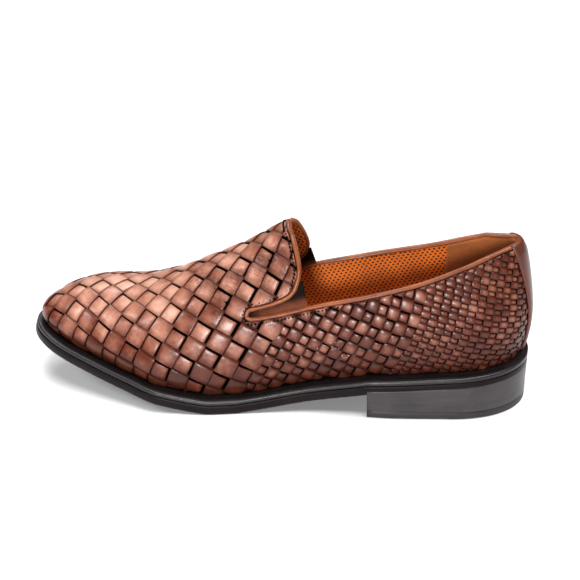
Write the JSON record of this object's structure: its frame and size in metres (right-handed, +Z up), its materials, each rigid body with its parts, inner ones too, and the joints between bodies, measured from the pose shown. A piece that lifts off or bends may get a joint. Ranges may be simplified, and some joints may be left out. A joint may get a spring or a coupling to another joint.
{
  "type": "woven loafer",
  "caption": "Left slip-on shoe with a hollow woven leather upper, elastic side notches, stitched welt, leather sole and a low stacked heel; a foot goes in at the collar.",
  "frame": {"origin": "on the floor, under the middle of the shoe's bounding box", "axes": "+X towards the toe, +Y towards the outer side of the foot, +Z up"},
  "size_m": [0.3044, 0.1027, 0.1056],
  "materials": {
    "woven_leather": "burnished semi-gloss",
    "binding_leather": "semi-gloss",
    "elastic": "matt",
    "strip_leather": "semi-gloss",
    "welt_leather": "satin",
    "sole_leather": "satin edge",
    "insole_leather": "smooth",
    "heel_leather": "satin",
    "heel_rubber": "matt"
  },
  "bodies": {
    "root": {"upper": "woven_leather", "collar_binding": "binding_leather", "gore_outer": "elastic", "gore_inner": "elastic", "back_strip": "strip_leather", "welt": "welt_leather", "outsole": "sole_leather", "insole": "insole_leather", "heel_block": "heel_leather", "heel_top_piece": "heel_rubber"}
  },
  "joints": []
}
